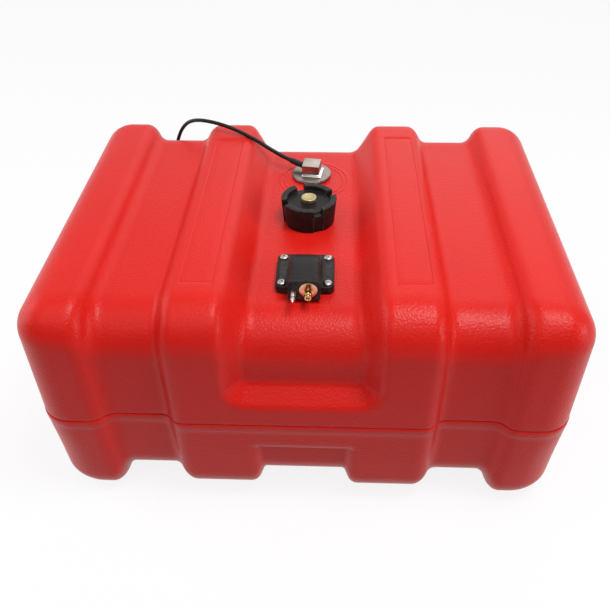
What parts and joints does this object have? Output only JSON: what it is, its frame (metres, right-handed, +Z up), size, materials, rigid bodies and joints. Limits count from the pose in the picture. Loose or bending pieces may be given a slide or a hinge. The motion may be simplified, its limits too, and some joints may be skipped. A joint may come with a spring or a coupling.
{
  "type": "inboard fuel tank",
  "caption": "Moulded tank with strap grooves, a screw filler cap with a vent screw, a fuel outlet with a check valve, and an earth lead on a steel disc.",
  "frame": {"origin": "under the middle of the tank, on the floor it stands on", "axes": "+X to the right seen from the front, +Y to the back, +Z up; the front with the fuel outlet faces -Y"},
  "size_m": [0.58, 0.519, 0.2945],
  "materials": {
    "tank_red": "softly pebbled, semi-gloss",
    "moulded_black": "fine satin",
    "seal_rubber": "matte",
    "brass": "turned",
    "copper_seat": "turned",
    "plated_steel": "bright plated",
    "brushed_plate": "satin",
    "tinned_lug": "tinned",
    "sleeve_rubber": "satin",
    "lead_black": "satin",
    "tie_black": "satin"
  },
  "bodies": {
    "tank": {"upper_shell": "tank_red", "lower_shell": "tank_red", "filler_neck": "tank_red", "outlet_body": "moulded_black", "outlet_gasket": "seal_rubber", "outlet_screws": "plated_steel", "nipple_seat": "copper_seat", "outlet_nipple": "brass", "guide_pin": "plated_steel", "check_spring": "plated_steel", "pickup_tube": "moulded_black", "pickup_screen": "moulded_black", "earth_plate": "brushed_plate", "plate_seal": "seal_rubber", "lead_clip": "brushed_plate", "earth_stud": "plated_steel", "stud_nut": "plated_steel", "lead_lug": "tinned_lug", "lead_sleeve": "sleeve_rubber", "earth_lead": "lead_black", "lead_coil": "lead_black", "coil_tie": "tie_black", "ring_terminal": "tinned_lug"},
    "cap_carrier": {"cap_gasket": "seal_rubber"},
    "cap": {"filler_cap": "moulded_black"},
    "vent_carrier": {"vent_seal": "seal_rubber"},
    "vent": {"vent_screw": "brass"},
    "check_valve": {"check_ball": "plated_steel"}
  },
  "joints": [
    {"name": "cap_lift", "type": "slide", "parent": "tank", "child": "cap_carrier", "axis": [0, 0, 1], "range_m": [0, 0.015]},
    {"name": "cap_turn", "type": "hinge", "parent": "cap_carrier", "child": "cap", "pos_m": [0, 0.005, 0.27], "axis": [0, 0, 1], "range_deg": [0, 900]},
    {"name": "vent_lift", "type": "slide", "parent": "cap", "child": "vent_carrier", "axis": [0, 0, 1], "range_m": [0, 0.003]},
    {"name": "vent_turn", "type": "hinge", "parent": "vent_carrier", "child": "vent", "pos_m": [0, 0.005, 0.278], "axis": [0, 0, 1], "range_deg": [0, 1080]},
    {"name": "check_travel", "type": "slide", "parent": "tank", "child": "check_valve", "axis": [0, 1, 0], "range_m": [0, 0.003], "stiffness_N_per_m": 300, "springref_m": -0.004, "deforming": ["check_spring"]}
  ],
  "couplings": [
    {"joint": "cap_lift", "follows": "cap_turn", "m_per_rad": 0.00095483},
    {"joint": "vent_lift", "follows": "vent_turn", "m_per_rad": 0.00015914}
  ]
}
